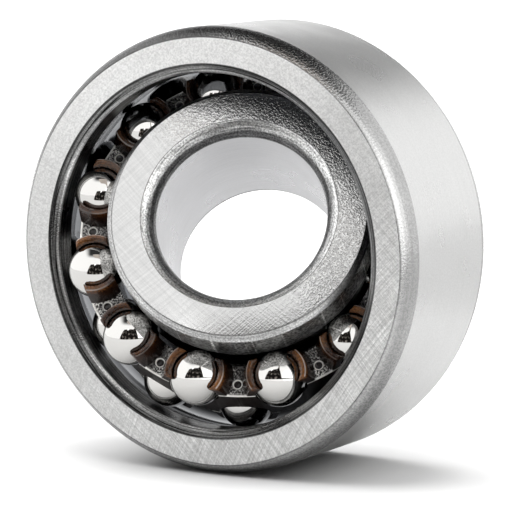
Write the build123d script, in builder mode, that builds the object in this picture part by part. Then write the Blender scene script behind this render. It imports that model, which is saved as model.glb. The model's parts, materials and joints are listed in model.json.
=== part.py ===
from build123d import *
import math
import os

# Double-row self-aligning ball bearing with a cylindrical bore. The outer ring
# stands with its axis along Y and its front face toward -Y. The inner ring, the
# cage and the balls are swivelled out of it together about the bearing's centre,
# which is the origin: the outer raceway is one sphere about that point.
# Sizes are in millimetres, angles in degrees.

# Boundary sizes
BORE_DIAMETER = 20.0
OUTSIDE_DIAMETER = 52.0
OUTER_WIDTH = 21.0
INNER_WIDTH = 21.0

# How far the inner group is swivelled, and toward which side (above +X)
SWIVEL_DEG = 32.6
SWIVEL_TOWARD_DEG = 55.7

# Balls, and the circle they run on: it lies this far outside the middle between the
# bore and the outside
BALL_DIAMETER = 6.5
BALLS_PER_ROW = 12
PITCH_OUTWARD = 0.3
ROW_OFFSET = 3.4
FIRST_BALL_DEG = 24.6

# Ball grooves and raceway
RUNNING_CLEARANCE = 0.03
GROOVE_RADIUS = 3.38
GROOVE_DEPTH = 0.48
RACEWAY_OVERRUN = 0.61

# How sharply each rounded corner leaves the ground cylinder beside it
CORNER_BREAK_DEG = 4.0

# Outer ring's corners
OD_CORNER_RADIAL = 1.25
OD_CORNER_AXIAL = 2.36
MOUTH_CHAMFER_RADIAL = 1.08
MOUTH_CHAMFER_AXIAL = 0.85

# Inner ring's corners and shoulders
BORE_CORNER_RADIAL = 1.5
BORE_CORNER_AXIAL = 1.94
SHOULDER_CHAMFER = 0.65
GROOVE_LEAD_DROP = 0.2
GROOVE_LEAD_LENGTH = 1.3

# Cage body: a thick ring that the pockets are sunk into from both sides
CAGE_RING_GAP = 0.8
CAGE_THICKNESS = 3.7
CAGE_HALF_WIDTH = 3.5
CAGE_EDGE_CHAMFER = 0.25

# Cage pockets: a ball seat, a throat that the ball snaps through, a lead-in
POCKET_CLEARANCE = 0.12
THROAT_ABOVE_BALL = 2.1
RIM_ABOVE_BALL = 2.7
LEAD_IN_WIDENING = 0.37
COLLAR_WALL = 0.93
RIM_WALL = 0.42

# Round marks that the mould's ejector pins leave on each land, outward of its middle
EJECTOR_OUTWARD = 0.35
EJECTOR_DIAMETER = 0.85
EJECTOR_DEPTH = 0.15

# Worked out from the sizes above
BORE_RADIUS = BORE_DIAMETER / 2
OUTSIDE_RADIUS = OUTSIDE_DIAMETER / 2
BALL_RADIUS = BALL_DIAMETER / 2
PITCH_RADIUS = (BORE_RADIUS + OUTSIDE_RADIUS) / 2 + PITCH_OUTWARD
BALL_STEP_DEG = 360 / BALLS_PER_ROW
CONTACT_DEG = math.degrees(math.atan2(ROW_OFFSET, PITCH_RADIUS))
BALL_DISTANCE = math.hypot(PITCH_RADIUS, ROW_OFFSET)

# The raceway is a sphere that clears the balls by the running clearance
RACEWAY_RADIUS = BALL_DISTANCE + BALL_RADIUS + RUNNING_CLEARANCE
RACEWAY_HALF_WIDTH = ROW_OFFSET + BALL_RADIUS + RACEWAY_OVERRUN
MOUTH_RADIUS = math.sqrt(RACEWAY_RADIUS**2 - RACEWAY_HALF_WIDTH**2)

# Each groove's centre lies on the line of contact, beyond its ball's centre
GROOVE_DISTANCE = BALL_DISTANCE - BALL_RADIUS - RUNNING_CLEARANCE + GROOVE_RADIUS
GROOVE_CENTRE_RADIUS = GROOVE_DISTANCE * math.cos(math.radians(CONTACT_DEG))
GROOVE_CENTRE_OFFSET = GROOVE_DISTANCE * math.sin(math.radians(CONTACT_DEG))
SHOULDER_RADIUS = GROOVE_CENTRE_RADIUS - GROOVE_RADIUS + GROOVE_DEPTH

POCKET_RADIUS = BALL_RADIUS + POCKET_CLEARANCE
THROAT_RADIUS = math.sqrt(POCKET_RADIUS**2 - THROAT_ABOVE_BALL**2)
LEAD_IN_RADIUS = THROAT_RADIUS + LEAD_IN_WIDENING
COLLAR_RADIUS = POCKET_RADIUS + COLLAR_WALL
RIM_RADIUS = LEAD_IN_RADIUS + RIM_WALL
CAGE_INNER_RADIUS = SHOULDER_RADIUS + CAGE_RING_GAP
CAGE_OUTER_RADIUS = CAGE_INNER_RADIUS + CAGE_THICKNESS
RIM_OFFSET = ROW_OFFSET + RIM_ABOVE_BALL
EJECTOR_CIRCLE = CAGE_INNER_RADIUS + CAGE_THICKNESS / 2 + EJECTOR_OUTWARD

# The inner group's own axes: Z along its swivelled axis, X along the swivel pin line
swivel = math.radians(SWIVEL_DEG)
toward = math.radians(SWIVEL_TOWARD_DEG)
group_axis = Vector(
    math.sin(swivel) * math.cos(toward),
    -math.cos(swivel),
    math.sin(swivel) * math.sin(toward),
)
swivel_axis = Vector(-math.sin(toward), 0, math.cos(toward))
GROUP = Plane(origin=(0, 0, 0), x_dir=swivel_axis, z_dir=group_axis)
GROUP_SECTION = Plane(origin=(0, 0, 0), x_dir=swivel_axis, z_dir=swivel_axis.cross(group_axis))
GROUP_LINE = Axis((0, 0, 0), group_axis)

# Which way each row lies along the group's axis, and where its first ball is
ROWS = {
    "front": (1, FIRST_BALL_DEG),
    "rear": (-1, FIRST_BALL_DEG - BALL_STEP_DEG / 2),
}

os.makedirs("parts", exist_ok=True)


# Outer ring: half a section, mirrored, turned about Y, then bored by the raceway sphere
outer_half = OUTER_WIDTH / 2
corner_break = math.radians(CORNER_BREAK_DEG)
with BuildPart() as outer_ring:
    with BuildSketch(Plane.XY):
        with BuildLine():
            Line((OUTSIDE_RADIUS, 0), (OUTSIDE_RADIUS, outer_half - OD_CORNER_AXIAL))
            TangentArc(
                (OUTSIDE_RADIUS, outer_half - OD_CORNER_AXIAL),
                (OUTSIDE_RADIUS - OD_CORNER_RADIAL, outer_half),
                tangent=(-math.sin(corner_break), math.cos(corner_break)),
            )
            Polyline(
                (OUTSIDE_RADIUS - OD_CORNER_RADIAL, outer_half),
                (MOUTH_RADIUS + MOUTH_CHAMFER_RADIAL, outer_half),
                (MOUTH_RADIUS, outer_half - MOUTH_CHAMFER_AXIAL),
                (MOUTH_RADIUS, 0),
            )
            mirror(about=Plane.XZ)
        make_face()
    revolve(axis=Axis.Y)
    Sphere(RACEWAY_RADIUS, rotation=(90, 0, 0), mode=Mode.SUBTRACT)
outer_ring.part.label = "outer_ring"
export_step(outer_ring.part, "parts/outer_ring.step")


# Inner ring: bore, rounded bore corners, chamfered shoulders, two grooves and a rib
inner_half = INNER_WIDTH / 2
lead_radius = SHOULDER_RADIUS - GROOVE_LEAD_DROP
lead_reach = math.sqrt(GROOVE_RADIUS**2 - (GROOVE_CENTRE_RADIUS - lead_radius) ** 2)
rib_reach = math.sqrt(GROOVE_RADIUS**2 - (GROOVE_CENTRE_RADIUS - SHOULDER_RADIUS) ** 2)
groove_outer_edge = GROOVE_CENTRE_OFFSET + lead_reach
groove_inner_edge = GROOVE_CENTRE_OFFSET - rib_reach
with BuildPart(GROUP) as inner_ring:
    with BuildSketch(GROUP_SECTION):
        with BuildLine():
            Line((SHOULDER_RADIUS, 0), (SHOULDER_RADIUS, groove_inner_edge))
            ThreePointArc(
                (SHOULDER_RADIUS, groove_inner_edge),
                (GROOVE_CENTRE_RADIUS - GROOVE_RADIUS, GROOVE_CENTRE_OFFSET),
                (lead_radius, groove_outer_edge),
            )
            Polyline(
                (lead_radius, groove_outer_edge),
                (SHOULDER_RADIUS, groove_outer_edge + GROOVE_LEAD_LENGTH),
                (SHOULDER_RADIUS, inner_half - SHOULDER_CHAMFER),
                (SHOULDER_RADIUS - SHOULDER_CHAMFER, inner_half),
                (BORE_RADIUS + BORE_CORNER_RADIAL, inner_half),
            )
            TangentArc(
                (BORE_RADIUS, inner_half - BORE_CORNER_AXIAL),
                (BORE_RADIUS + BORE_CORNER_RADIAL, inner_half),
                tangent=(math.sin(corner_break), math.cos(corner_break)),
            )
            Line((BORE_RADIUS, inner_half - BORE_CORNER_AXIAL), (BORE_RADIUS, 0))
            mirror(about=Plane.XZ)
        make_face()
    revolve(axis=GROUP_LINE)
inner_ring.part.label = "inner_ring"
export_step(inner_ring.part, "parts/inner_ring.step")


# Cage: a flat disc and a cone-shaped collar over every pocket, trimmed together by
# the cage's own ring section, so that each collar is left as two claws. Then each
# pocket is cut as the mould's core leaves it, a sphere below a flared mouth.
with BuildPart(GROUP) as cage:
    Cylinder(CAGE_OUTER_RADIUS, 2 * CAGE_HALF_WIDTH)
    for side, first_deg in ROWS.values():
        collar_middle = side * (ROW_OFFSET + RIM_OFFSET) / 2
        with Locations((0, 0, collar_middle)):
            with PolarLocations(PITCH_RADIUS, BALLS_PER_ROW, start_angle=first_deg):
                Cone(
                    COLLAR_RADIUS if side > 0 else RIM_RADIUS,
                    RIM_RADIUS if side > 0 else COLLAR_RADIUS,
                    RIM_ABOVE_BALL,
                )
    with BuildSketch(GROUP_SECTION):
        with BuildLine():
            Polyline(
                (CAGE_INNER_RADIUS + CAGE_EDGE_CHAMFER, RIM_OFFSET),
                (CAGE_OUTER_RADIUS - CAGE_EDGE_CHAMFER, RIM_OFFSET),
                (CAGE_OUTER_RADIUS, RIM_OFFSET - CAGE_EDGE_CHAMFER),
                (CAGE_OUTER_RADIUS, 0),
            )
            Polyline(
                (CAGE_INNER_RADIUS + CAGE_EDGE_CHAMFER, RIM_OFFSET),
                (CAGE_INNER_RADIUS, RIM_OFFSET - CAGE_EDGE_CHAMFER),
                (CAGE_INNER_RADIUS, 0),
            )
            mirror(about=Plane.XZ)
        make_face()
    revolve(axis=GROUP_LINE, mode=Mode.INTERSECT)
    for side, first_deg in ROWS.values():
        with Locations((0, 0, side * ROW_OFFSET)):
            with PolarLocations(PITCH_RADIUS, BALLS_PER_ROW, start_angle=first_deg):
                Sphere(POCKET_RADIUS, mode=Mode.SUBTRACT)
        mouth_height = RIM_ABOVE_BALL - THROAT_ABOVE_BALL
        mouth_middle = side * (RIM_OFFSET - mouth_height / 2)
        with Locations((0, 0, mouth_middle)):
            with PolarLocations(PITCH_RADIUS, BALLS_PER_ROW, start_angle=first_deg):
                Cone(
                    THROAT_RADIUS if side > 0 else LEAD_IN_RADIUS,
                    LEAD_IN_RADIUS if side > 0 else THROAT_RADIUS,
                    mouth_height,
                    mode=Mode.SUBTRACT,
                )
        with Locations((0, 0, side * (CAGE_HALF_WIDTH - EJECTOR_DEPTH / 2))):
            land_deg = first_deg + BALL_STEP_DEG / 2
            with PolarLocations(EJECTOR_CIRCLE, BALLS_PER_ROW, start_angle=land_deg):
                Cylinder(EJECTOR_DIAMETER / 2, EJECTOR_DEPTH, mode=Mode.SUBTRACT)
cage.part.label = "cage"
export_step(cage.part, "parts/cage.step")


# Balls: each is placed by a plane of its own, with its Z along the line it rolls about
for row, (side, first_deg) in ROWS.items():
    for index in range(BALLS_PER_ROW):
        angle = math.radians(first_deg + index * BALL_STEP_DEG)
        tilt = math.radians(side * CONTACT_DEG)
        outward = Vector(math.cos(angle), math.sin(angle), 0)
        centre = outward * PITCH_RADIUS + Vector(0, 0, side * ROW_OFFSET)
        roll_line = Vector(0, 0, math.cos(tilt)) - outward * math.sin(tilt)
        ball_plane = Plane(
            origin=GROUP.from_local_coords(centre),
            z_dir=GROUP.from_local_coords(roll_line) - GROUP.origin,
        )
        with BuildPart(ball_plane) as ball:
            Sphere(BALL_RADIUS)
        name = f"ball_{row}_{index + 1:02d}"
        ball.part.label = name
        export_step(ball.part, f"parts/{name}.step")
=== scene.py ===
import json
import math
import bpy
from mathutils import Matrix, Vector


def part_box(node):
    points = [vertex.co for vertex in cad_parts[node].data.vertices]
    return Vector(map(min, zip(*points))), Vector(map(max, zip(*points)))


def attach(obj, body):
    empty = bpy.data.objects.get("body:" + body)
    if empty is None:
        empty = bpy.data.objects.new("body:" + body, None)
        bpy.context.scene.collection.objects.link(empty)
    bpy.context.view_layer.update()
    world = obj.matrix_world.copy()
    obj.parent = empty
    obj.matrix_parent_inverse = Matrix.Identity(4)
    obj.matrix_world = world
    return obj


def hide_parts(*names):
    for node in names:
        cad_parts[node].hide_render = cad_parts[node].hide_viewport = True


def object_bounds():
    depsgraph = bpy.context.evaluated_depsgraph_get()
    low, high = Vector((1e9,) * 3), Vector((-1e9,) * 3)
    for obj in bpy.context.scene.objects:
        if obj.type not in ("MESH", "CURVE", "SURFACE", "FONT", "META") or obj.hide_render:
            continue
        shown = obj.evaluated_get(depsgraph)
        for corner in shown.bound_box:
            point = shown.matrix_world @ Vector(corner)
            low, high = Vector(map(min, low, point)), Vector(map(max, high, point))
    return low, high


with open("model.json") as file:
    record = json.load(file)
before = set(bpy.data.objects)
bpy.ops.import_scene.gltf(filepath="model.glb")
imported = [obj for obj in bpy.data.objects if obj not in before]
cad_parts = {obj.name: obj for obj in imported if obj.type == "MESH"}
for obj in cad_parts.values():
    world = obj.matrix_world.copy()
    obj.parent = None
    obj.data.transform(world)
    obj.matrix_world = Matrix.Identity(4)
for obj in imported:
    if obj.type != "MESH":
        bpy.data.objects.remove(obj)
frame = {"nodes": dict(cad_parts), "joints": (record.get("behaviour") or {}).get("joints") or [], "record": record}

from types import SimpleNamespace

import bmesh
import bpy
from bpy.props import FloatProperty, FloatVectorProperty, IntProperty, PointerProperty
from bpy.types import Operator, Panel, PropertyGroup
from mathutils import Matrix, Vector

bl_info = {
    "name": "Self-Aligning Ball Bearing",
    "version": (1, 0, 0),
    "blender": (4, 5, 0),
    "location": "3D View > Sidebar > Bearing",
    "description": "Rings, balls and a moulded cage for a double-row self-aligning bearing",
    "category": "Add Mesh",
}

# The CAD model's box, mounts and joints: the defaults come from them
CAD_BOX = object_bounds()
MOUNTS = {mount["name"]: mount for mount in frame["record"]["mounts"]}
JOINTS = {joint["name"]: joint for joint in frame["joints"]}
BALL_NODES = sorted(name for name in frame["nodes"] if name.startswith("ball_"))
MM = 0.001

# The outer ring is drawn this much smaller, as the frame's box is measured over the CAD's facets
FACET_ALLOWANCE = 0.008 * MM
# A face this close to a flat or a cylinder belongs to it
ZONE_ALLOWANCE = 0.01 * MM
# Steps round each ring and along each curve of a section, and the turn where a corner starts
RING_STEPS = 256
CORNER_STEPS = 10
RACEWAY_STEPS = 16
GROOVE_STEPS = 24
EDGE_STEPS = 3
CORNER_START = math.radians(4)
# How near points are joined, in mm: on a mirror plane, in a turned ring, where the half pocket
# is cut and between its copies, and the cage's shortest edge
MIRROR_JOIN = 0.001
RING_JOIN = 0.0001
CUT_JOIN = 0.0005
COPY_JOIN = 0.002
SHORTEST_EDGE = 0.001
# Sides of the cage's cones and balls while it is modelled, the slab it starts from in mm, and
# how far its sector and the cutter of an ejector mark run over
POCKET_SIDES = 160
SEAT_SIDES = 128
SECTOR_STEPS = 24
SLAB_LENGTH = 40
SECTOR_SPARE = math.radians(1.6)
MARK_SPARE = 0.5
# The camera's bearing and height in degrees, the middle of its view, and how near and how far
# it sees in metres
CAMERA_BEARING = 29.267
CAMERA_HEIGHT = 7.070
VIEW_MIDDLE = Vector((0.35816, 0.00426, -1.38222)) * MM
VIEW_REACH = (0.01, 20)
# The floor's reach each way in metres, and how much of its colour reflections see
FLOOR_REACH = 3.0
FLOOR_REFLECTED = 0.68
# The dark screen's outline in mm to the right and up, and the outline of the card on the floor, which paints the
# floor's shade behind the bearing into reflections
SCREEN_OUTLINE = (
    (-52, -12), (10, -10), (125, -8.7), (125, -7.9), (9, -7.5), (6, 13), (5, 17), (6, 56),
    (16, 130), (26, 165), (-56, 165), (-44, 115), (-26, 66), (-3, 60), (1, 50), (1, 30),
    (-4, 22), (-37, 22),
)
CARD_OUTLINE = ((14, 5), (70, 5), (70, 55), (14, 55))
CARD_ABOVE_FLOOR = 0.3 * MM
LAMP_RADIUS = 3.5 * MM
LAMP_ON_SCREEN = (-21, 19)
LAMP_FORWARD = 0.99
SUN_DISTANCE = 0.4
# Lights for matt surfaces: name, setting, share of it, angle across, bearing and height
SOFT_LIGHTS = (
    ("left", "side_light", 1.25, 75, -90, 64),
    ("right", "side_light", 0.7, 75, 90, 64),
    ("soft", "soft_light", 1.0, 160, 0, 90),
)


def placement(across, axis):
    """Takes a ring's own X to across and its own Z to axis."""
    return Matrix((across, axis.cross(across), axis)).transposed().to_4x4()


def direction(bearing, height):
    """The unit vector at a bearing and a height in degrees: 0 is toward -Y, 90 toward +X."""
    bearing, height = math.radians(bearing), math.radians(height)
    flat = math.cos(height)
    return Vector((math.sin(bearing) * flat, -math.cos(bearing) * flat, math.sin(height)))


OUTER_PLACE = placement(Vector((1, 0, 0)), Vector((0, -1, 0)))
GROUP_PLACE = placement(
    Vector(JOINTS["swivel"]["axis"]).normalized(), Vector(MOUNTS["bore"]["axis"]).normalized()
)
FIRST_BALL = GROUP_PLACE.inverted() @ Vector(JOINTS["roll_front_01"]["pos_m"])


# ---- what a user may change


def number(label, value, about, kind=FloatProperty, **limits):
    """A value that a user may change."""
    return kind(name=label, description=about, default=value, **limits)


def length(label, millimetres, about):
    """A length that a user may change."""
    return number(
        label, millimetres * MM, about, min=0, precision=5, unit="LENGTH", subtype="DISTANCE"
    )


def colour(label, value, about):
    """A colour that a user may change."""
    return number(label, value, about, FloatVectorProperty, size=3, min=0, max=1, subtype="COLOR")


SHARE = dict(min=0, max=1, subtype="FACTOR")


class OuterRingSizes(PropertyGroup):
    """The outer ring's section."""

    outside_radius: length("Outside radius", MOUNTS["outer_seat"]["dims"]["r_mm"], "Ground outside")
    half_width: length("Half width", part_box("outer_ring")[1].y / MM, "Middle to side face")
    corner_radial: length("Corner, radial", 1.25, "Rounded corner's reach into the side face")
    corner_axial: length("Corner, axial", 2.36, "Rounded corner's reach along the outside")
    chamfer_radial: length("Mouth chamfer, radial", 1.08, "Chamfer's reach into the side face")
    chamfer_axial: length("Mouth chamfer, axial", 0.85, "Chamfer's reach into the mouth")
    raceway_radius: length("Raceway radius", 21.893, "Spherical raceway about the centre")
    raceway_half_width: length("Raceway half width", 7.26, "Middle to the raceway's edge")
    edge_softness: length("Edge softness", 0.07, "Rounding left on each turned edge")


class InnerRingSizes(PropertyGroup):
    """The inner ring's section."""

    bore_radius: length("Bore radius", MOUNTS["bore"]["dims"]["r_mm"], "Ground bore")
    half_width: length("Half width", 10.5, "Middle to side face")
    corner_radial: length("Bore corner, radial", 1.5, "Rounded corner's reach into the face")
    corner_axial: length("Bore corner, axial", 1.94, "Rounded corner's reach along the bore")
    shoulder_radius: length("Shoulder radius", 15.498, "Shoulders and the rib")
    shoulder_chamfer: length("Shoulder chamfer", 0.65, "Chamfer between shoulder and face")
    lead_drop: length("Groove lead drop", 0.2, "Depth of the slope at a groove's outer edge")
    lead_length: length("Groove lead length", 1.3, "Length of that slope")
    groove_radius: length("Groove radius", 3.38, "Radius of a ball groove")
    groove_circle: length("Groove circle", 18.398, "Circle that the groove's centre turns on")
    groove_offset: length("Groove offset", 3.418, "Middle to the groove's centre")
    edge_softness: length("Edge softness", 0.05, "Rounding left on each turned edge")


class CageSizes(PropertyGroup):
    """The moulded cage."""

    ball_circle: length("Ball circle", FIRST_BALL.xy.length / MM, "Circle of the ball centres")
    row_offset: length("Row offset", FIRST_BALL.z / MM, "Middle to a row's ball centres")
    balls_per_row: number("Balls per row", 12, "Pockets on each side", IntProperty, min=6, max=24)
    first_ball: number(
        "First ball", math.atan2(FIRST_BALL.y, FIRST_BALL.x), "Place of the front row's first ball",
        unit="ROTATION", subtype="ANGLE",
    )
    inner_radius: length("Inner radius", 16.298, "Inside of the cage")
    outer_radius: length("Outer radius", 19.998, "Outside of the cage")
    half_width: length("Half width", 3.5, "Middle to the lands between the collars")
    rim_height: length("Rim height", 2.7, "Ball centres to the collar's rim")
    throat_height: length("Throat height", 2.1, "Ball centres to the throat")
    pocket_radius: length("Pocket radius", 3.37, "Ball seat")
    lead_in: length("Lead-in", 0.37, "How much the mouth widens from throat to rim")
    collar_wall: length("Collar wall", 0.93, "Wall at the collar's foot")
    rim_wall: length("Rim wall", 0.42, "Wall at the collar's rim")
    edge_chamfer: length("Edge chamfer", 0.25, "Chamfer along the rims")
    mark_circle: length("Ejector mark circle", 18.498, "Circle of the ejector marks")
    mark_radius: length("Ejector mark radius", 0.45, "Round mark of an ejector pin")
    mark_depth: length("Ejector mark depth", 0.15, "Depth of a mark")
    grain: length("Modelling grain", 0.05, "Voxel size that rounds the moulded edges")
    triangles: number("Triangles per half pocket", 7000, "Kept triangles", IntProperty, min=500)


class BallSizes(PropertyGroup):
    """The balls."""

    radius: length("Ball radius", 3.25, "Half of the ball's diameter")
    subdivisions: number("Subdivisions", 5, "Fineness of each ball", IntProperty, min=2, max=6)


class Finishes(PropertyGroup):
    """Colours of steel and plastic."""

    ring_steel: colour("Ring steel", (0.59, 0.59, 0.585), "Ground bearing steel")
    ball_steel: colour("Ball steel", (0.70, 0.69, 0.67), "Polished balls")
    cage_dark: colour("Cage, thick", (0.008, 0.005, 0.004), "Plastic where it is thick")
    cage_brown: colour("Cage, thin", (0.022, 0.008, 0.0035), "Plastic where it is thin")
    cage_amber: colour("Cage, rims", (0.15, 0.055, 0.011), "Plastic where light comes through")
    # This colour also paints highlights on the cage: on the lands' outer edge, round and in the ejector marks, and
    # along the collars' rims.
    cage_fibre_and_highlights: colour("Cage, fibre", (0.9, 0.88, 0.84), "Fibre that shows on the flat lands")
    ring_roughness: number("Ring roughness", 1.0, "Makes every finish rougher", min=0, max=2)
    ball_roughness: number("Ball roughness", 0.035, "Roughness of the balls", **SHARE)
    cage_roughness: number("Cage roughness", 0.16, "Roughness of the plastic", **SHARE)


class Studio(PropertyGroup):
    """Floor, light and camera."""

    floor: colour("Floor", (0.6, 0.6, 0.6), "Plain pale floor")
    tent: colour("Light tent", (1.0, 1.0, 1.0), "Soft white surroundings")
    tent_strength: number("Tent strength", 1.4, "Brightness of the surroundings", min=0)
    tent_gap: colour("Gap overhead", (0.03, 0.03, 0.03), "Dark gap that runs over the bearing")
    window: number("Window", 1.6, "Brighter patch to the right of the camera", min=0)
    side_light: number("Side light", 4.4, "Brightness of the light from each side", min=0)
    soft_light: number("Soft light", 0.5, "Brightness of the light from all over", min=0)
    lamp_radiance: number("Lamp", 1.6, "Brightness of the small lamp", min=0)
    screen_distance: length("Dark screen", 45.0, "Bearing to the screen the camera looks through")
    camera_distance: length("Camera distance", 381.57, "Camera to the middle of the view")
    lens: number("Lens", 228.63, "Focal length in mm", min=1)


# ---- shader tools


def is_output(value):
    """Whether a value comes from another node."""
    return isinstance(value, bpy.types.NodeSocket)


def fill(node, sockets):
    """Sets each socket that is given a value, and links each that is given an output."""
    for name, value in sockets.items():
        if is_output(value):
            node.id_data.links.new(value, node.inputs[name])
        else:
            node.inputs[name].default_value = value
    return node


def put(kind, sockets=None, tree=None, **settings):
    """Adds a node with its settings, in the tree that its sockets are linked from, and fills
    its sockets."""
    sockets = sockets or {}
    tree = tree or next(value.id_data for value in sockets.values() if is_output(value))
    node = tree.nodes.new(f"ShaderNode{kind}")
    for name, value in settings.items():
        setattr(node, name, value)
    return fill(node, sockets)


def calc(operation, *values, clamp=False):
    """One step of arithmetic on numbers."""
    sockets = dict(enumerate(values))
    return put("Math", sockets, operation=operation, use_clamp=clamp).outputs[0]


def fold(operation, first, *others):
    """Several numbers taken together, one after another."""
    for other in others:
        first = calc(operation, first, other)
    return first


def times(*values):
    """The product of several numbers."""
    return fold("MULTIPLY", *values)


def minus(first, second):
    """The difference of two numbers."""
    return calc("SUBTRACT", first, second)


def line(value, slope, start):
    """A start plus a slope times a value."""
    return calc("MULTIPLY_ADD", value, slope, start)


def hypotenuse(across, up):
    """The length of the line from a corner across and up."""
    return calc("SQRT", calc("ADD", times(across, across), times(up, up)))


def spread(value, low, high, to_low=0.0, to_high=1.0, smooth=False):
    """Maps low to high onto to_low to to_high, and holds it there."""
    sockets = {0: value, 1: low, 2: high, 3: to_low, 4: to_high}
    kind = "SMOOTHSTEP" if smooth else "LINEAR"
    return put("MapRange", sockets, interpolation_type=kind).outputs[0]


def scaled(vector, factor):
    """A vector times a number."""
    sockets = {0: vector, "Scale": factor}
    return put("VectorMath", sockets, operation="SCALE").outputs[0]


def along(vector, toward):
    """How far a vector reaches toward a direction."""
    sockets = {0: vector, 1: toward}
    return put("VectorMath", sockets, operation="DOT_PRODUCT").outputs["Value"]


def facing(around, bearing):
    """1 where a ring's own bearing is the given one, in degrees, and -1 across from it."""
    bearing = math.radians(bearing)
    return along(around, (math.cos(bearing), math.sin(bearing), 0))


def split(vector):
    """A vector's three parts."""
    return put("SeparateXYZ", {0: vector}).outputs


def join(*parts):
    """A vector from its three parts."""
    return put("CombineXYZ", dict(enumerate(parts))).outputs[0]


def blend_colour(factor, first, second, mode="MIX"):
    """Mixes two colours."""
    sockets = {0: factor}
    for index, value in ((6, first), (7, second)):
        sockets[index] = value if is_output(value) else (*value[:3], 1)
    return put("Mix", sockets, data_type="RGBA", blend_type=mode).outputs[2]


def toned(colour_given, tone):
    """A colour made lighter or darker by a tone."""
    return blend_colour(1.0, colour_given, tone, mode="MULTIPLY")


def pattern(vector, detail=2.0, roughness=0.5):
    """Noise on a vector that is already scaled."""
    sockets = {"Vector": vector, "Scale": 1.0, "Detail": detail, "Roughness": roughness}
    return put("TexNoise", sockets).outputs["Fac"]


def relief(height, strength, millimetres):
    """Turns a height into surface relief."""
    sockets = {"Height": height, "Strength": strength, "Distance": millimetres * MM}
    return put("Bump", sockets).outputs[0]


def shared_effect(name, inputs, outputs):
    """Makes a builder into a function that places its node group in a tree with values of its
    own. The group is built once. An input without a value is a vector."""

    def add_socket(group, in_out, label, is_vector):
        kind = "NodeSocketVector" if is_vector else "NodeSocketFloat"
        return group.interface.new_socket(name=label, in_out=in_out, socket_type=kind)

    def build_group(build):
        group = bpy.data.node_groups.new(name, "ShaderNodeTree")
        for label, value in inputs.items():
            socket = add_socket(group, "INPUT", label, value is None)
            if value is not None:
                socket.default_value = value
        for label in outputs:
            add_socket(group, "OUTPUT", label, label in ("Place", "Around"))
        results = build(group.nodes.new("NodeGroupInput").outputs)
        fill(group.nodes.new("NodeGroupOutput"), dict(zip(outputs, results)))
        return group

    def wrap(build):
        def place(tree, **sockets):
            node = tree.nodes.new("ShaderNodeGroup")
            node.node_tree = bpy.data.node_groups.get(name) or build_group(build)
            return fill(node, sockets).outputs

        return place

    return wrap


@shared_effect("Ring Coordinates", {"Turn": None}, ("Place", "Radius", "Along", "Around"))
def ring_coordinates(given):
    """Where a point lies on a ring: its place in the ring's own axes, radius, height, bearing."""
    seen = put("TexCoord", tree=given["Turn"].id_data).outputs["Object"]
    turned = put("Mapping", {"Vector": seen, "Rotation": given["Turn"]}).outputs[0]
    in_mm = scaled(turned, 1 / MM)
    x, y, z = split(in_mm)
    flat = join(x, y, 0.0)
    around = put("VectorMath", {0: flat}, operation="NORMALIZE").outputs[0]
    return in_mm, hypotenuse(x, y), z, around


@shared_effect("Turned Lines", dict(Around=None, Across=0.0, Spacing=0.15, Breaks=2.0), ("Lines",))
def turned_lines(given):
    """Fine lines that run round a ring, as turning and plunge grinding leave them."""
    x, y, _ = split(scaled(given["Around"], given["Breaks"]))
    step = calc("DIVIDE", given["Across"], given["Spacing"])
    lines = pattern(join(x, y, step), detail=3.0, roughness=0.65)
    return [spread(lines, 0.3, 0.7)]


@shared_effect("Grinding Arcs", dict(Place=None, Spacing=0.2, Turn=0.0), ("First", "Second"))
def crossed_arcs(given):
    """Two sets of long arcs that cross, as a cup wheel leaves them on a flat ground face."""
    sockets = {"Vector": given["Place"], "Angle": given["Turn"]}
    spun = put("VectorRotate", sockets, rotation_type="Z_AXIS").outputs[0]
    x, y, _ = split(scaled(spun, 0.11))
    sets = []
    for centre, drift in (((95, 12, 0), 3.1), ((10, -105, 0), 8.7)):
        reach = put("VectorMath", {0: spun, 1: centre}, operation="DISTANCE")
        step = calc("DIVIDE", reach.outputs["Value"], given["Spacing"])
        where = join(step, x, calc("ADD", y, drift))
        sets.append(spread(pattern(where, roughness=0.6), 0.32, 0.68))
    return sets


@shared_effect("Metal Grain", dict(Place=None, Size=0.2), ("Grain", "Clouds"))
def metal_grain(given):
    """Fine grain of a blasted or oxidised surface, with slow cloudy change over it."""
    fine = scaled(given["Place"], calc("DIVIDE", 1.0, given["Size"]))
    slow = scaled(given["Place"], 0.16)
    return (
        spread(pattern(fine, detail=1.0), 0.36, 0.64),
        spread(pattern(slow), 0.3, 0.7),
    )


@shared_effect("Stray Scratches", dict(Place=None, Amount=0.3), ("Scratches",))
def stray_scratches(given):
    """Short thin scratches in three directions, here and there."""
    limit = minus(0.86, times(given["Amount"], 0.2))
    masks = []
    for angle, fine in ((0.45, 5.2), (1.5, 6.1), (2.6, 4.7)):
        sockets = {
            "Vector": given["Place"],
            "Rotation": (0.3 * angle, 0.2, angle),
            "Scale": (fine, 0.28, 0.8),
            "Location": (angle * 7, 3.0, 1.0),
        }
        lines = pattern(put("Mapping", sockets).outputs[0], detail=0.0)
        masks.append(spread(lines, limit, calc("ADD", limit, 0.05)))
    return [fold("MAXIMUM", *masks)]


def new_material(name):
    """A material with only its output and its Principled shader."""
    old = bpy.data.materials.get(name)
    if old:
        bpy.data.materials.remove(old)
    material = bpy.data.materials.new(name)
    material.use_nodes = True
    return material, material.node_tree, material.node_tree.nodes["Principled BSDF"]
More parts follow.
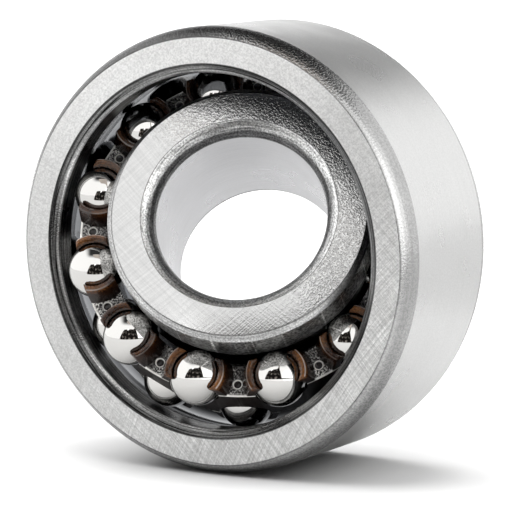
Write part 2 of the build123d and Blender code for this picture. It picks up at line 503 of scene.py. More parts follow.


# Each finish of the ring steel: tone is how light it is, rough how rough, across what its lines
# are ruled over where that isn't the radius. lines, arcs and grain each give how much the effect
# changes the tone and its depth in hundredths of a millimetre; clouds and ticks change only the
# tone; scratches give their number and depth. fades change the tone by a factor between two
# radii in mm, rims in a thin line at a radius. held keeps an effect to one side of the ring:
# the bearing, where it starts and is full, and what is left.
# A held tone is painted light and shade: it makes one side of a finish lighter or darker, as the light falls on
# the ring.
STEEL_FINISHES = {
    "ground_side_face": dict(
        tone=1.26, rough=0.58, spacing=0.3, lines=(0.05, 0.2),
        arcs=(0.32, 1.6), arc_spacing=0.14, arc_turn=0.75, grain=(0.2, 0.5), clouds=0.04,
        rims=((21.73, 0.08, 0.3),),
        # painted light and shade: the held tone is lighter towards the upper right and darker towards the lower
        # left
        held=dict(arcs=(305, -0.1, 0.8, 0.25), tone=(60, -0.6, 0.5, 0.82)),
    ),
    "ground_outside": dict(
        tone=0.97, rough=0.3, across="Along", spacing=0.22, lines=(0.05, 0.3),
        grain=(0.08, 0.4), clouds=0.03,
    ),
    "turned_outer_corner": dict(
        tone=0.84, rough=0.24, spacing=0.2, lines=(0.2, 1.0),
        grain=(0.45, 2.6), grain_size=0.24, clouds=0.1,
        fades=((24.74, 24.95, 0.5, 1.0), (25.05, 25.4, 1.0, 0.78)),
        # painted shade: the held tone darkens a patch of the corner at the upper left
        held=dict(tone=(301, -0.9, -0.72, 0.25), grain=(195, -0.98, -0.6, 0.4)),
    ),
    "turned_mouth_chamfer": dict(
        tone=0.34, rough=0.3, spacing=0.2, lines=(2.4, 1.0),
        grain=(0.5, 1.2), clouds=0.4, rims=((20.92, 0.16, 1.9), (21.62, 0.14, 0.3)),
    ),
    "turned_mouth": dict(
        tone=0.28, rough=0.3, across="Along", spacing=0.26, lines=(2.4, 1.2),
        grain=(0.5, 0.8), clouds=0.3,
    ),
    "lapped_raceway": dict(
        tone=0.24, rough=0.06, across="Along", spacing=0.3, lines=(0.1, 0.1),
        grain=(0.02, 0.04), clouds=0.03, tint=(0.93, 0.97, 1.05),
    ),
    "ground_inner_face": dict(
        tone=0.93, rough=0.16, spacing=0.3, lines=(0.02, 0.1),
        arcs=(0.12, 0.3), arc_spacing=0.24, arc_turn=0.15, grain=(0.5, 1.75),
        clouds=0.04, scratches=(0.35, 1.6),
        held=dict(grain=(262, -0.35, 0.5, 0.06), scratches=(262, 0.0, 0.5, 0.0)),
        rims=((11.5, 0.06, 0.35), (14.84, 0.05, 0.5)),
    ),
    "ground_bore": dict(
        tone=0.9, rough=0.3, across="Along", spacing=0.2, lines=(0.1, 0.4),
        grain=(0.03, 0.15), clouds=0.03, tint=(0.99, 0.99, 1.02),
    ),
    "turned_bore_corner": dict(
        tone=1.04, rough=0.34, spacing=0.18, lines=(1.5, 1.1),
        grain=(0.8, 1.8), clouds=0.3, fades=((10.35, 10.65, 0.42, 1.0),),
        rims=((11.5, 0.06, 0.35), (10.04, 0.05, 0.5)),
    ),
    "turned_shoulder_chamfer": dict(
        tone=0.8, rough=0.32, spacing=0.18, lines=(0.8, 0.5),
        grain=(0.6, 0.8), clouds=0.3, rims=((14.9, 0.06, 0.45),),
    ),
    "ground_shoulder": dict(
        tone=0.9, rough=0.42, across="Along", spacing=0.3, lines=(0.6, 0.3),
        grain=(1.2, 0.8), grain_size=0.35, clouds=0.5, ticks=4.0,
        # painted shade: the held tone darkens the shoulders on one side, round the ring's own bearing of 140
        # degrees
        held=dict(tone=(320, -0.85, -0.3, 0.66)),
    ),
    "lapped_groove": dict(
        tone=0.6, rough=0.1, across="Along", spacing=0.3, lines=(0.06, 0.1),
        grain=(0.02, 0.05), clouds=0.03,
    ),
}


def steel(name, place):
    """The ring steel with one of its finishes, ruled in the axes of the ring placed by place."""
    looks = STEEL_FINISHES[name]
    finishes = bpy.context.scene.bearing_finishes
    material, tree, shader = new_material(name)
    where = ring_coordinates(tree, Turn=tuple(place.inverted().to_euler()))
    around, here, radius = where["Around"], where["Place"], where["Radius"]
    ruled = dict(Across=where[looks.get("across", "Radius")], Spacing=looks["spacing"])
    lines = turned_lines(tree, Around=around, **ruled)["Lines"]
    grain = metal_grain(tree, Place=here, Size=looks.get("grain_size", 0.2))

    def held(effect):
        """The share of an effect that is kept at this bearing of the ring."""
        if effect not in looks.get("held", ()):
            return 1.0
        bearing, low, high, least = looks["held"][effect]
        return spread(facing(around, bearing), low, high, least, 1.0, smooth=True)

    effects = [
        (lines, looks["lines"], 1.0),
        (grain["Grain"], looks["grain"], held("grain")),
        (grain["Clouds"], (looks["clouds"], 0), 1.0),
    ]
    if "arcs" in looks:
        ruled = dict(Spacing=looks["arc_spacing"], Turn=looks["arc_turn"])
        arcs = crossed_arcs(tree, Place=here, **ruled)
        effects += [(arcs[name], looks["arcs"], held("arcs")) for name in ("First", "Second")]
    if "ticks" in looks:
        ticks = turned_lines(tree, Around=around, Spacing=1.0, Breaks=26.0)["Lines"]
        effects.append((spread(ticks, 0.74, 0.86, 0.5, 1.0), (looks["ticks"], 0), 1.0))
    tone = looks["tone"]
    # painted light and shade: a held tone makes one side of the ring lighter or darker
    if "tone" in looks.get("held", ()):
        tone = times(held("tone"), tone)
    for fade in looks.get("fades", ()):
        tone = times(spread(radius, *fade, smooth=True), tone)
    for circle, reach, factor in looks.get("rims", ()):
        away = calc("ABSOLUTE", minus(radius, circle))
        tone = times(spread(away, reach * 0.6, reach, factor, 1.0), tone)
    height = 0.0
    for value, (shade, depth), kept in effects:
        swing = times(minus(value, 0.5), kept)
        tone = times(tone, line(swing, shade, 1.0))
        if depth:
            height = line(swing, depth, height)
    if "scratches" in looks:
        amount, depth = looks["scratches"]
        marks = stray_scratches(tree, Place=here, Amount=amount)["Scratches"]
        height = minus(height, times(marks, held("scratches"), depth))
    rough = finishes.ring_roughness * looks["rough"]
    cloudy = line(grain["Clouds"], 0.3, 0.85)
    metal = [a * b for a, b in zip(finishes.ring_steel, looks.get("tint", (1, 1, 1)))]
    fill(shader, {
        "Base Color": toned(metal, tone),
        "Roughness": calc("MULTIPLY", cloudy, rough, clamp=True),
        "Metallic": 1.0,
        "Normal": relief(height, 1.0, 0.01),
    })
    return material


def ball_steel():
    """Mirror-polished ball steel with a breath of oil haze."""
    finishes = bpy.context.scene.bearing_finishes
    material, tree, shader = new_material("polished_ball")
    grain = metal_grain(tree, Place=ring_coordinates(tree)["Place"], Size=0.6)
    haze = line(times(grain["Clouds"], grain["Grain"]), 0.9, 0.7)
    tone = line(grain["Clouds"], 0.04, 0.97)
    fill(shader, {
        "Base Color": toned(finishes.ball_steel, tone),
        "Roughness": times(haze, finishes.ball_roughness),
        "Metallic": 1.0,
    })
    return material


def cage_plastic():
    """Fibre-filled moulded plastic: near black where thick, brown and amber towards the thin rims. The brown and
    amber are painted light, full on the lower-left side where the light comes through and fading on the other.
    Silvery flecks of fibres show on the flat lands and also stand in for glints, and painted highlights lie on the
    lands' outer edge, round and in the ejector marks, and along the collars' rims."""
    finishes, s = bpy.context.scene.bearing_finishes, bpy.context.scene.bearing_cage
    material, tree, shader = new_material("cage_polyamide")
    where = ring_coordinates(tree, Turn=tuple(GROUP_PLACE.inverted().to_euler()))
    grains = metal_grain(tree, Place=where["Place"], Size=0.22)
    grain, clouds = grains["Grain"], grains["Clouds"]
    flecks = stray_scratches(tree, Place=where["Place"], Amount=1.0)["Scratches"]
    radius, height = where["Radius"], calc("ABSOLUTE", where["Along"])
    land, rim = s.half_width / MM, (s.row_offset + s.rim_height) / MM
    outer, half_step = s.outer_radius / MM, math.pi / s.balls_per_row
    x, y, _ = split(where["Around"])
    bearing = minus(calc("ARCTAN2", y, x), s.first_ball)
    front = calc("GREATER_THAN", where["Along"], 0.0)
    bearing = minus(bearing, times(front, half_step))
    to_mark = calc("PINGPONG", bearing, half_step)

    def reach(angle, circle):
        """How far a point lies from a centre on a circle, a given angle round."""
        across = times(radius, calc("SINE", angle))
        outward = times(radius, calc("COSINE", angle))
        return hypotenuse(across, minus(outward, circle))

    def between(value, *limits):
        """1 from the second limit to the third, 0 outside the first and the last."""
        rise = spread(value, *limits[:2])
        return times(rise, spread(value, *limits[2:], 1.0, 0.0))

    from_mark = reach(to_mark, s.mark_circle / MM)
    from_pocket = reach(minus(half_step, to_mark), s.ball_circle / MM)
    throat = math.sqrt(s.pocket_radius**2 - s.throat_height**2)
    rim_edge = (throat + s.lead_in + s.rim_wall) / MM
    on_land = between(height, land - 0.12, land - 0.04, land + 0.1, land + 0.25)
    # painted highlights: a bright ring round each ejector mark, a bright dot in it and the lands' outer edge take
    # the pale colour of the flecks, and the flecks also stand in for glints
    ring = between(from_mark, 0.36, 0.42, 0.55, 0.62)
    dot = spread(from_mark, 0.12, 0.2, 1.0, 0.0)
    front_edge = spread(radius, outer - 0.3, outer - 0.16)
    sparse = spread(clouds, 0.25, 0.75, 0.12, 1.0)
    glitter = times(spread(grain, 0.35, 0.95), sparse)
    fibre_and_highlights = times(on_land, fold("MAXIMUM", glitter, ring, front_edge))
    # painted highlight: a thin bright line along the outer edge of each collar's rim
    lit_rim = times(
        spread(height, rim - 0.2, rim - 0.1),
        between(from_pocket, rim_edge - 0.1, rim_edge - 0.06, rim_edge + 0.1, rim_edge + 0.2),
        spread(clouds, 0.3, 0.9, 0.05, 0.4),
    )
    silver = fold("MAXIMUM", fibre_and_highlights, times(dot, on_land), lit_rim)
    # painted light: the brown where thin and the amber at the tips are full round the cage's own bearing of 110
    # degrees, where the light comes through, and fade on the other side
    lower_left = facing(where["Around"], 110)
    painted_lit_side = spread(lower_left, -0.5, 0.3, 0.25, 1.0, smooth=True)
    thin = times(painted_lit_side, spread(height, land + 0.3, rim, smooth=True))
    tip = spread(height, rim - 0.9, rim, smooth=True)
    tip = times(tip, painted_lit_side, spread(clouds, 0.3, 0.8))
    plastic = blend_colour(thin, finishes.cage_dark, finishes.cage_brown)
    plastic = blend_colour(tip, plastic, finishes.cage_amber)
    plastic = toned(plastic, line(grain, 0.8, 0.6))
    cloudy = line(clouds, 0.4, 0.8)
    moulded = times(cloudy, finishes.cage_roughness)
    outside = spread(radius, outer - 0.06, outer - 0.01, 0.0, 0.5)
    rise = calc("ADD", grain, times(flecks, 0.6))
    rise = times(rise, line(on_land, 0.7, 0.3))
    fill(shader, {
        "Base Color": blend_colour(silver, plastic, finishes.cage_fibre_and_highlights),
        "Roughness": calc("MAXIMUM", moulded, outside),
        "Normal": relief(rise, 0.6, 0.04),
        "IOR": 1.42,
        "Coat Weight": spread(height, land - 0.2, land - 0.05, 0.0, 0.2),
        "Coat Roughness": 0.05,
    })
    return material


# ---- modelling tools


def everything(mesh):
    """All that a mesh under work holds."""
    return mesh.verts[:] + mesh.edges[:] + mesh.faces[:]


def spin(mesh, geom, angle, steps, axis=(0, 0, 1), centre=(0, 0, 0), merge=False, copy=False):
    """Sweeps geometry round an axis, or sets copies of it round."""
    return bmesh.ops.spin(
        mesh, geom=geom, cent=centre, axis=axis, dvec=(0, 0, 0), angle=angle, steps=steps,
        use_merge=merge, use_normal_flip=False, use_duplicate=copy,
    )


class SectionPen:
    """Draws half of a ring's section, from the middle of its width outward: X is the radius
    and Z the place along the axis."""

    def __init__(self, mesh, radius, along_axis=0.0):
        self.mesh = mesh
        self.tip = mesh.verts.new((radius, 0, along_axis))
        self.corners_to_soften = []

    def line(self, radius, along_axis, soften=False):
        """Draws a straight line from the tip."""
        end = self.mesh.verts.new((radius, 0, along_axis))
        self.mesh.edges.new((self.tip, end))
        self.tip = end
        if soften:
            self.corners_to_soften.append(end)

    def arc(self, centre, turn, steps, soften=False):
        """Swings the tip about centre, from the radius toward the axis direction if positive."""
        centre = (centre[0], 0, centre[1])
        swung = spin(self.mesh, [self.tip], turn, steps, axis=(0, -1, 0), centre=centre)
        self.tip = swung["geom_last"][0]
        if soften:
            self.corners_to_soften.append(self.tip)

    def corner(self, *end):
        """Leaves the tip a little off the axis direction and bends evenly to end."""
        start = Vector((self.tip.co.x, self.tip.co.z))
        chord = Vector(end) - start
        turn = math.copysign(CORNER_START, chord.x)
        heading = Vector((math.sin(turn), math.cos(turn)))
        left = Vector((-heading.y, heading.x))
        centre = start + left * (chord.length_squared / (2 * chord.dot(left)))
        turn = 2 * math.atan2(chord.dot(left), chord.dot(heading))
        self.arc(centre, turn, CORNER_STEPS, soften=True)

    def full_ring(self, softness):
        """Rounds the marked corners, mirrors the half section and turns it into a ring."""
        mesh = self.mesh
        bmesh.ops.bevel(
            mesh, geom=self.corners_to_soften, offset=softness, offset_type="OFFSET",
            segments=EDGE_STEPS, profile=0.5, affect="VERTICES", material=-1,
        )
        mirror(mesh, "Z", MIRROR_JOIN * MM)
        spin(mesh, everything(mesh), math.tau, RING_STEPS, merge=True)
        bmesh.ops.remove_doubles(mesh, verts=mesh.verts[:], dist=RING_JOIN * MM)
        bmesh.ops.recalc_face_normals(mesh, faces=mesh.faces[:])


def mirror(mesh, axis, join_within):
    """Adds the mirror image across the plane that the axis stands on."""
    geom, matrix = everything(mesh), Matrix.Identity(4)
    bmesh.ops.mirror(mesh, geom=geom, matrix=matrix, merge_dist=join_within, axis=axis)


def check_closed(name, mesh):
    """Stops the script if a piece has an open or doubled edge."""
    open_edges = sum(len(edge.link_faces) != 2 for edge in mesh.edges)
    if open_edges:
        raise RuntimeError(f"{name} isn't closed: {open_edges} edges don't have two faces")


def to_scene(name, data):
    """A new object of the scene."""
    thing = bpy.data.objects.new(name, data)
    bpy.context.scene.collection.objects.link(thing)
    return thing


def to_object(name, mesh, *materials):
    """Turns a mesh under work into an object of the scene."""
    data = bpy.data.meshes.new(name)
    mesh.to_mesh(data)
    mesh.free()
    for material in materials:
        data.materials.append(material)
    return to_scene(name, data)


def finish_piece(name, mesh, materials, body, nodes, even_normals=True):
    """Makes the object, at the origin, and puts it in place of its CAD nodes."""
    old = bpy.data.objects.get(name)
    if old:
        bpy.data.objects.remove(old)
    piece = to_object(name, mesh, *materials)
    piece.data.shade_smooth()
    if even_normals:
        piece.modifiers.new("Even normals", "WEIGHTED_NORMAL")
    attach(piece, body)
    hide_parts(*nodes)


def finish_ring(node, mesh, place, **zones):
    """Gives each face the finish of the first zone that holds its middle, and places the ring.
    A zone is a test of the radius and of the distance from the middle of the width."""
    for face in mesh.faces:
        middle = face.calc_center_median()
        radius, height = middle.xy.length, abs(middle.z)
        face.material_index = next(
            index for index, holds in enumerate(zones.values()) if holds(radius, height)
        )
    check_closed(node, mesh)
    mesh.transform(place)
    finishes = [steel(finish, place) for finish in zones]
    finish_piece(f"{node}_turned", mesh, finishes, node, [node])


def temporary(name, build, *values):
    """A helper object in millimetres, made by build, for the booleans."""
    mesh = bmesh.new()
    build(mesh, *values)
    bmesh.ops.recalc_face_normals(mesh, faces=mesh.faces[:])
    return to_object(name, mesh)


# ---- the cage's half pocket


def with_modifiers(thing):
    """The mesh of an object with its modifiers applied."""
    depsgraph = bpy.context.evaluated_depsgraph_get()
    return bpy.data.meshes.new_from_object(thing.evaluated_get(depsgraph))


def half_pocket(s, half_step):
    """The cage in mm from the middle of a front pocket to the middle of a rear one, and a
    little over at both ends, with its moulded edges rounded."""
    properties = s.bl_rna.properties.items()
    lengths = [name for name, prop in properties if prop.subtype == "DISTANCE"]
    mm = SimpleNamespace(**{name: getattr(s, name) / MM for name in lengths})
    row, inner, outer = mm.row_offset, mm.inner_radius, mm.outer_radius
    rim, throat_top = row + mm.rim_height, row + mm.throat_height
    throat = math.sqrt(mm.pocket_radius**2 - mm.throat_height**2)
    lead_in = throat + mm.lead_in

    def at(side, radius, height):
        """Front pockets stand at angle 0 and rear ones half a step round."""
        place = Matrix.Translation((radius, 0, side * height))
        if side < 0:
            place = Matrix.Rotation(half_step, 4, "Z") @ place @ Matrix.Rotation(math.pi, 4, "X")
        return place

    def cone(mesh, side, foot, top, low, high, radius=mm.ball_circle):
        bmesh.ops.create_cone(
            mesh, cap_ends=True, cap_tris=False, segments=POCKET_SIDES, radius1=foot,
            radius2=top, depth=high - low, matrix=at(side, radius, (low + high) / 2),
        )

    def slab(mesh):
        """A block between the lands' heights, larger than the half pocket."""
        bmesh.ops.create_cube(mesh, size=1)
        size = Matrix.Diagonal((SLAB_LENGTH, SLAB_LENGTH, 2 * mm.half_width, 1))
        place = Matrix.Translation((SLAB_LENGTH / 2, 0, 0)) @ size
        bmesh.ops.transform(mesh, matrix=place, verts=mesh.verts[:])

    def sector(mesh):
        """The cage's ring section, with chamfered rims, turned a little past half a step."""
        pen = SectionPen(mesh, inner)
        start = pen.tip
        cut = mm.edge_chamfer
        front = [(inner, rim - cut), (inner + cut, rim), (outer - cut, rim), (outer, rim - cut)]
        for radius, height in front + [(radius, -height) for radius, height in front[::-1]]:
            pen.line(radius, height)
        mesh.edges.new((pen.tip, start))
        bmesh.ops.contextual_create(mesh, geom=mesh.edges[:])
        back = Matrix.Rotation(-SECTOR_SPARE, 3, "Z")
        bmesh.ops.rotate(mesh, cent=(0, 0, 0), matrix=back, verts=mesh.verts[:])
        spin(mesh, everything(mesh), half_step + 2 * SECTOR_SPARE, SECTOR_STEPS)

    def ball_seat(mesh, side):
        bmesh.ops.create_uvsphere(
            mesh, u_segments=SEAT_SIDES, v_segments=SEAT_SIDES // 2, radius=mm.pocket_radius,
            matrix=at(side, mm.ball_circle, row),
        )

    def ejector_mark(mesh, side):
        """A round mark on the land across from the pocket."""
        wide, land = mm.mark_radius, mm.half_width
        cone(mesh, -side, wide, wide, land - mm.mark_depth, land + MARK_SPARE, mm.mark_circle)
        over = Matrix.Scale(-1, 4, (0, 0, 1))
        bmesh.ops.transform(mesh, matrix=over, verts=mesh.verts[:])

    foot, top = mm.pocket_radius + mm.collar_wall, lead_in + mm.rim_wall
    steps = [("UNION", cone, side, foot, top, row, rim) for side in (1, -1)]
    steps.append(("INTERSECT", sector))
    wide, high = lead_in + mm.lead_in, 2 * rim - row - mm.throat_height
    for side in (1, -1):
        steps += [
            ("DIFFERENCE", ball_seat, side),
            ("DIFFERENCE", cone, side, throat, wide, throat_top, high),
            ("DIFFERENCE", ejector_mark, side),
        ]
    base = temporary("slab", slab)
    helpers = [base]
    for operation, build, *values in steps:
        helpers.append(temporary(build.__name__, build, *values))
        step = base.modifiers.new(build.__name__, "BOOLEAN")
        step.operation, step.solver, step.object = operation, "EXACT", helpers[-1]
    remesh = base.modifiers.new("Moulded edges", "REMESH")
    remesh.mode, remesh.voxel_size, remesh.adaptivity = "VOXEL", mm.grain, 0
    smooth = base.modifiers.new("Smooth", "SMOOTH")
    smooth.factor, smooth.iterations = 0.5, 5
    moulded = with_modifiers(base)
    count = sum(len(polygon.vertices) - 2 for polygon in moulded.polygons)
    if not count:
        raise RuntimeError("the cage's half pocket came out empty")
    base.modifiers.clear()
    base.data = moulded
    fewer = base.modifiers.new("Fewer triangles", "DECIMATE")
    fewer.ratio = min(1.0, s.triangles / count)
    mesh = bmesh.new()
    mesh.from_mesh(with_modifiers(base))
    for helper in helpers:
        bpy.data.objects.remove(helper)
    return mesh


# ---- the studio


def on_screen(s, across, up):
    """The place on the dark screen so many mm to the right of the bearing's centre and above."""
    away = direction(CAMERA_BEARING, 0)
    return s.screen_distance * away + MM * Vector((-away.y * across, away.x * across, up))


def lay_floor(s):
    """A plain pale floor just under the outer ring, darker in reflections."""
    mesh = bmesh.new()
    bmesh.ops.create_grid(mesh, x_segments=1, y_segments=1, size=FLOOR_REACH)
    bmesh.ops.translate(mesh, vec=(0, 0, CAD_BOX[0].z), verts=mesh.verts[:])
    material, tree, shader = new_material("pale_floor")
    mirrored = put("LightPath", tree=tree).outputs["Is Glossy Ray"]
    pale = blend_colour(mirrored, s.floor, tuple(FLOOR_REFLECTED * part for part in s.floor))
    fill(shader, {"Base Color": pale, "Roughness": 0.9, "Specular IOR Level": 0.1})
    floor = to_object("floor", mesh, material)


def light_world(scene, s):
    """A white tent with a dark gap overhead and a brighter window at one side, for reflections
    alone."""
    world = bpy.data.worlds.new("light_tent")
    scene.world = world
    world.cycles_visibility.diffuse = False
    world.use_nodes = True
    tree = world.node_tree
    seen = put("TexCoord", tree=tree).outputs["Generated"]
    off_middle = calc("ABSOLUTE", along(seen, direction(112, 0)))
    band = spread(off_middle, 0.3, 0.62, 1.0, 0.0, smooth=True)
    above = spread(along(seen, direction(-158, 70)), 0.55, 0.81, smooth=True)
    window = spread(along(seen, direction(68, 16)), 0.88, 0.965, 1.0, s.window, smooth=True)
    tent = blend_colour(times(band, above), s.tent, s.tent_gap)
    fill(tree.nodes["Background"], {"Color": tent, "Strength": times(window, s.tent_strength)})


def hang_card(corners, material, shader, shade):
    """A flat matt card that is seen only in reflections."""
    fill(shader, {"Base Color": shade, "Roughness": 1.0, "Specular IOR Level": 0.0})
    mesh = bmesh.new()
    mesh.faces.new([mesh.verts.new(corner) for corner in corners])
    card = to_object(material.name, mesh, material)
    card.visible_camera = card.visible_diffuse = card.visible_shadow = False


def hang_screen(s):
    """A dark screen on the near side of the bearing, mottled like draped cloth and less dark higher up, and a grey
    card on the floor behind the bearing: painted shade that darkens the floor there as the rings reflect it."""
    material, tree, shader = new_material("dark_screen")
    place = put("TexCoord", tree=tree).outputs["Object"]
    folds = pattern(scaled(place, 0.14 / MM))
    blotch = spread(folds, 0.5, 0.72, 0.01, 0.3)
    upper = spread(split(place)[2], 22 * MM, 60 * MM, 0.0, 0.48)
    warm = toned((1.0, 0.9, 0.82), calc("MAXIMUM", blotch, upper))
    hang_card([on_screen(s, *corner) for corner in SCREEN_OUTLINE], material, shader, warm)
    # painted shade: a grey card that darkens the floor behind the bearing in reflections
    material, _, shader = new_material("painted_floor_shade_card")
    height = CAD_BOX[0].z + CARD_ABOVE_FLOOR
    corners = [Vector((x * MM, y * MM, height)) for x, y in CARD_OUTLINE]
    hang_card(corners, material, shader, (0.5, 0.5, 0.5, 1))


def hang_light(data, place):
    """Hangs a light so that it shines at the bearing's centre."""
    light = to_scene(data.name, data)
    light.location = place
    light.rotation_mode = "QUATERNION"
    light.rotation_quaternion = place.to_track_quat("Z", "Y")
    light.visible_camera = False
    return light


def hang_lights(s):
    """A small round lamp in front of the screen, and the light for matt surfaces, which the
    tent itself doesn't light."""
    lamp = bpy.data.lights.new("lamp", "AREA")
    lamp.shape, lamp.size = "DISK", 2 * LAMP_RADIUS
    lamp.energy = math.pi * s.lamp_radiance * math.pi * LAMP_RADIUS**2
    hang_light(lamp, on_screen(s, *LAMP_ON_SCREEN) * LAMP_FORWARD)
    for name, setting, part, angle, bearing, height in SOFT_LIGHTS:
        sun = bpy.data.lights.new(name, "SUN")
        sun.energy, sun.angle = part * getattr(s, setting), math.radians(angle)
        hang_light(sun, SUN_DISTANCE * direction(bearing, height)).visible_glossy = False


def set_camera(scene, s):
    """The photograph's viewing angle."""
    data = bpy.data.cameras.new("camera")
    data.lens = s.lens
    data.clip_start, data.clip_end = VIEW_REACH
    camera = to_scene("camera", data)
    back = direction(CAMERA_BEARING, CAMERA_HEIGHT)
    camera.rotation_mode = "QUATERNION"
    camera.rotation_quaternion = (-back).to_track_quat("-Z", "Y")
    camera.location = VIEW_MIDDLE + back * s.camera_distance
    scene.camera = camera


# ---- operators


class BEARING_OT_outer_ring(Operator):
    """Build the outer ring with its ground faces, turned corners and lapped raceway"""

    bl_idname = "bearing.outer_ring"
    bl_label = "Outer Ring"

    def execute(self, context):
        s = context.scene.bearing_outer_ring
        outside, width = s.outside_radius - FACET_ALLOWANCE, s.half_width
        mouth = math.sqrt(s.raceway_radius**2 - s.raceway_half_width**2)
        mesh = bmesh.new()
        pen = SectionPen(mesh, outside)
        pen.line(outside, width - s.corner_axial)
        pen.corner(outside - s.corner_radial, width)
        pen.line(mouth + s.chamfer_radial, width, soften=True)
        pen.line(mouth, width - s.chamfer_axial, soften=True)
        pen.line(mouth, s.raceway_half_width, soften=True)
        pen.arc((0, 0), -math.asin(s.raceway_half_width / s.raceway_radius), RACEWAY_STEPS)
        pen.full_ring(s.edge_softness)
        cylinder = outside - ZONE_ALLOWANCE
        finish_ring(
            "outer_ring", mesh, OUTER_PLACE,
            ground_side_face=lambda r, z: z > width - ZONE_ALLOWANCE,
            ground_outside=lambda r, z: z < width - s.corner_axial and r > cylinder,
            turned_outer_corner=lambda r, z: r > outside - s.corner_radial,
            turned_mouth_chamfer=lambda r, z: z > width - s.chamfer_axial,
            turned_mouth=lambda r, z: z > s.raceway_half_width,
            lapped_raceway=lambda r, z: True,
        )
        return {"FINISHED"}


class BEARING_OT_inner_ring(Operator):
    """Build the inner ring with its bore, rounded corners, shoulders, two grooves and rib"""

    bl_idname = "bearing.inner_ring"
    bl_label = "Inner Ring"

    def execute(self, context):
        s = context.scene.bearing_inner_ring
        bore, width, shoulder = s.bore_radius, s.half_width, s.shoulder_radius
        lead = shoulder - s.lead_drop
        lead_reach = math.sqrt(s.groove_radius**2 - (s.groove_circle - lead) ** 2)
        rib_reach = math.sqrt(s.groove_radius**2 - (s.groove_circle - shoulder) ** 2)
        lead_start, rib_edge = s.groove_offset + lead_reach, s.groove_offset - rib_reach
        mesh = bmesh.new()
        pen = SectionPen(mesh, bore)
        pen.line(bore, width - s.corner_axial)
        pen.corner(bore + s.corner_radial, width)
        pen.line(shoulder - s.shoulder_chamfer, width, soften=True)
        pen.line(shoulder, width - s.shoulder_chamfer, soften=True)
        pen.line(shoulder, lead_start + s.lead_length)
        pen.line(lead, lead_start, soften=True)
        centre = (s.groove_circle, s.groove_offset)
        begin = math.atan2(lead_reach, lead - s.groove_circle)
        end = math.atan2(-rib_reach, shoulder - s.groove_circle)
        pen.arc(centre, (end - begin) % math.tau, GROOVE_STEPS, soften=True)
        pen.line(shoulder, 0)
        pen.full_ring(s.edge_softness)
        cylinder = bore + ZONE_ALLOWANCE
        finish_ring(
            "inner_ring", mesh, GROUP_PLACE,
            ground_inner_face=lambda r, z: z > width - ZONE_ALLOWANCE,
            ground_bore=lambda r, z: z < width - s.corner_axial and r < cylinder,
            turned_bore_corner=lambda r, z: r < bore + s.corner_radial,
            turned_shoulder_chamfer=lambda r, z: z > width - s.shoulder_chamfer,
            ground_shoulder=lambda r, z: z > lead_start or z < rib_edge,
            lapped_groove=lambda r, z: True,
        )
        return {"FINISHED"}


class BEARING_OT_cage(Operator):
    """Build the one-piece snap cage from half a pocket, mirrored and repeated round the ring"""

    bl_idname = "bearing.cage"
    bl_label = "Snap Cage"

    def execute(self, context):
        s = context.scene.bearing_cage
        half_step = math.pi / s.balls_per_row
        mesh = half_pocket(s, half_step)
        for outward in ((0, -1, 0), (-math.sin(half_step), math.cos(half_step), 0)):
            bmesh.ops.bisect_plane(
                mesh, geom=everything(mesh), dist=CUT_JOIN, plane_co=(0, 0, 0), plane_no=outward,
                clear_outer=True,
            )
        mirror(mesh, "Y", MIRROR_JOIN)
        rest_of_turn = math.tau - 2 * half_step
        spin(mesh, everything(mesh), rest_of_turn, s.balls_per_row - 1, copy=True)
        bmesh.ops.remove_doubles(mesh, verts=mesh.verts[:], dist=COPY_JOIN)
        bmesh.ops.dissolve_degenerate(mesh, edges=mesh.edges[:], dist=SHORTEST_EDGE)
        bmesh.ops.triangulate(mesh, faces=mesh.faces[:])
        bmesh.ops.recalc_face_normals(mesh, faces=mesh.faces[:])
        check_closed("cage", mesh)
        turned = GROUP_PLACE @ Matrix.Rotation(s.first_ball, 4, "Z")
        mesh.transform(turned @ Matrix.Scale(MM, 4))
        finish_piece("snap_cage", mesh, [cage_plastic()], "cage", ["cage"])
        return {"FINISHED"}


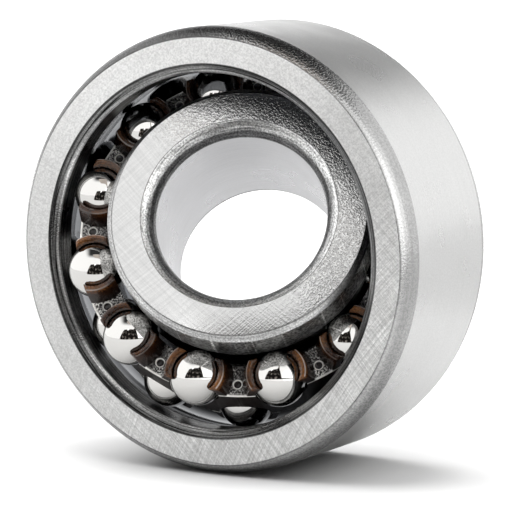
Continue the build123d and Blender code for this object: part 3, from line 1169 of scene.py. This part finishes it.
class BEARING_OT_balls(Operator):
    """Build the two rows of polished balls"""

    bl_idname = "bearing.balls"
    bl_label = "Balls"

    def execute(self, context):
        s = context.scene.bearing_balls
        material = ball_steel()
        for node in BALL_NODES:
            joint = JOINTS[node.replace("ball", "roll")]
            roll = Vector(joint["axis"]).to_track_quat("Z", "Y").to_matrix().to_4x4()
            place = Matrix.Translation(joint["pos_m"]) @ roll
            mesh = bmesh.new()
            bmesh.ops.create_icosphere(
                mesh, subdivisions=s.subdivisions, radius=s.radius, matrix=place
            )
            check_closed(node, mesh)
            finish_piece(
                f"polished_{node}", mesh, [material], joint["child"], [node], False
            )
        return {"FINISHED"}


class BEARING_OT_studio(Operator):
    """Set up the floor, the light tent, the screen, the lights and the camera"""

    bl_idname = "bearing.studio"
    bl_label = "Studio"

    def execute(self, context):
        scene, s = context.scene, context.scene.bearing_studio
        scene.view_settings.view_transform = "Standard"
        lay_floor(s)
        light_world(scene, s)
        hang_screen(s)
        hang_lights(s)
        set_camera(scene, s)
        return {"FINISHED"}


class BEARING_PT_sidebar(Panel):
    """Lists the bearing's pieces and what can be changed"""

    bl_idname = "BEARING_PT_sidebar"
    bl_label = "Ball Bearing"
    bl_space_type = "VIEW_3D"
    bl_region_type = "UI"
    bl_category = "Bearing"

    def draw(self, context):
        for group in SETTINGS:
            box = self.layout.box()
            step = group.removeprefix("bearing_")
            if step in STEPS:
                box.operator(f"bearing.{step}")
            settings = getattr(context.scene, group)
            for name in settings.bl_rna.properties.keys():
                if name not in ("rna_type", "name"):
                    box.prop(settings, name)


# The operators in order, and the settings that they read
STEPS = ("outer_ring", "inner_ring", "cage", "balls", "studio")
SETTINGS = {
    "bearing_outer_ring": OuterRingSizes,
    "bearing_inner_ring": InnerRingSizes,
    "bearing_cage": CageSizes,
    "bearing_balls": BallSizes,
    "bearing_finishes": Finishes,
    "bearing_studio": Studio,
}
CLASSES = (
    *SETTINGS.values(), BEARING_OT_outer_ring, BEARING_OT_inner_ring, BEARING_OT_cage,
    BEARING_OT_balls, BEARING_OT_studio, BEARING_PT_sidebar,
)


def register():
    for cls in CLASSES:
        bpy.utils.register_class(cls)
    for name, group in SETTINGS.items():
        setattr(bpy.types.Scene, name, PointerProperty(type=group))


def unregister():
    for name in SETTINGS:
        delattr(bpy.types.Scene, name)
    for cls in reversed(CLASSES):
        bpy.utils.unregister_class(cls)


def main():
    """Builds every piece and the studio."""
    register()
    for step in STEPS:
        getattr(bpy.ops.bearing, step)()


if __name__ == "__main__":
    main()
